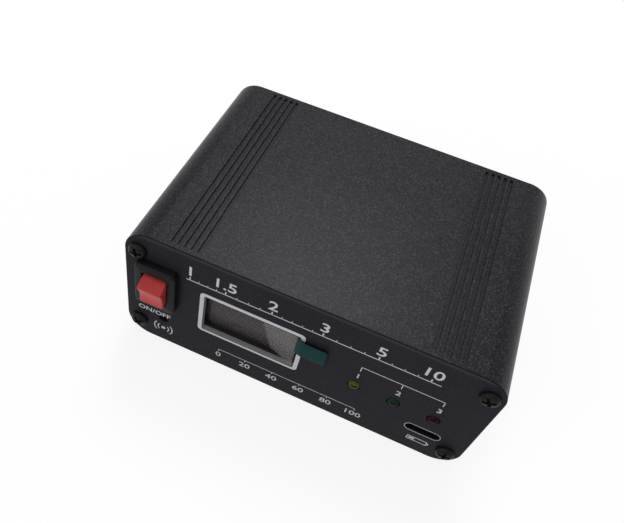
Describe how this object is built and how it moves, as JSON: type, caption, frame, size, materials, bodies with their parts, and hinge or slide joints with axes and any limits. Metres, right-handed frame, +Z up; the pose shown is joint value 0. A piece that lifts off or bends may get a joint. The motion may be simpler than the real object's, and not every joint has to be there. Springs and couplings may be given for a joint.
{
  "type": "swr meter",
  "caption": "Small SWR and power meter in a black split aluminium case, with a display window, red rocker switch, status lamps, charging slot and coaxial sockets at the back.",
  "frame": {"origin": "middle of the case's underside, on the surface that the meter stands on", "axes": "+X to the right as seen from the front, +Y to the back (the front plate faces -Y), +Z up"},
  "size_m": [0.088, 0.082, 0.038],
  "materials": {
    "black_aluminium": "bead-blasted black anodised",
    "black_plate": "smooth satin black",
    "black_screw": "black zinc, slightly glossy",
    "black_plastic": "moulded satin black",
    "red_plastic": "moulded glossy red",
    "spring_steel": "bright drawn wire",
    "brass": "bare bright brass",
    "nickel": "nickel plated",
    "display_glass": "glossy glass over a dark panel",
    "clear_film": "clear protective film",
    "teal_film": "dark teal translucent film",
    "foam": "matt black foam",
    "blue_board": "satin solder mask",
    "green_board": "satin solder mask",
    "yellow_lamp": "tinted diffusing lens",
    "green_lamp": "tinted diffusing lens",
    "red_lamp": "tinted diffusing lens",
    "white_plastic": "satin off-white",
    "ferrite": "matt grey ferrite",
    "enamelled_copper": "clear enamel over copper",
    "tinned_copper": "tinned, satin",
    "battery_foil": "laminated foil",
    "red_lead": "satin insulation",
    "black_lead": "satin insulation",
    "grey_lead": "satin insulation"
  },
  "bodies": {
    "case": {"lower_shell": "black_aluminium", "upper_shell": "black_aluminium", "front_panel": "black_plate", "rear_panel": "black_plate", "front_screw_1": "black_screw", "front_screw_2": "black_screw", "front_screw_3": "black_screw", "front_screw_4": "black_screw", "rear_screw_1": "black_screw", "rear_screw_2": "black_screw", "rear_screw_3": "black_screw", "rear_screw_4": "black_screw", "switch_housing": "black_plastic", "display_header": "black_plastic", "usb_tongue": "black_plastic", "buzzer": "black_plastic", "microcontroller": "black_plastic", "voltage_regulator": "black_plastic", "terminal_common": "brass", "terminal_load": "brass", "antenna_socket_contact": "brass", "radio_socket_contact": "brass", "usb_shell": "nickel", "capacitor": "nickel", "antenna_socket_body": "nickel", "antenna_socket_washer": "nickel", "antenna_socket_nut": "nickel", "radio_socket_body": "nickel", "radio_socket_washer": "nickel", "radio_socket_nut": "nickel", "display_glass": "display_glass", "screen_film": "clear_film", "pull_tab": "teal_film", "display_gasket": "foam", "display_board": "blue_board", "main_board": "green_board", "work_lamp": "yellow_lamp", "full_lamp": "green_lamp", "charge_lamp": "red_lamp", "antenna_socket_insulator": "white_plastic", "radio_socket_insulator": "white_plastic", "battery_socket": "white_plastic", "battery_plug": "white_plastic", "current_core": "ferrite", "voltage_core": "ferrite", "current_winding": "enamelled_copper", "voltage_winding": "enamelled_copper", "through_line": "tinned_copper", "sample_wire": "tinned_copper", "battery": "battery_foil", "switch_lead_common": "red_lead", "buzzer_lead": "red_lead", "battery_lead_red": "red_lead", "switch_lead_load": "black_lead", "battery_lead_black": "black_lead", "display_ribbon": "grey_lead"},
    "rocker": {"rocker": "red_plastic", "switch_plunger": "brass", "plunger_spring": "spring_steel"},
    "contact_lever": {"contact_lever": "brass"}
  },
  "joints": [
    {"name": "power_rocker", "type": "hinge", "parent": "case", "child": "rocker", "pos_m": [-0.0354, -0.0309, 0.023], "axis": [-1, 0, 0], "range_deg": [0, 24]},
    {"name": "lever_tilt", "type": "hinge", "parent": "case", "child": "contact_lever", "pos_m": [-0.0354, -0.02375, 0.023], "axis": [1, 0, 0], "range_deg": [0, 16]}
  ],
  "couplings": [
    {"joint": "lever_tilt", "follows": "power_rocker", "ratio": 0.6666}
  ]
}
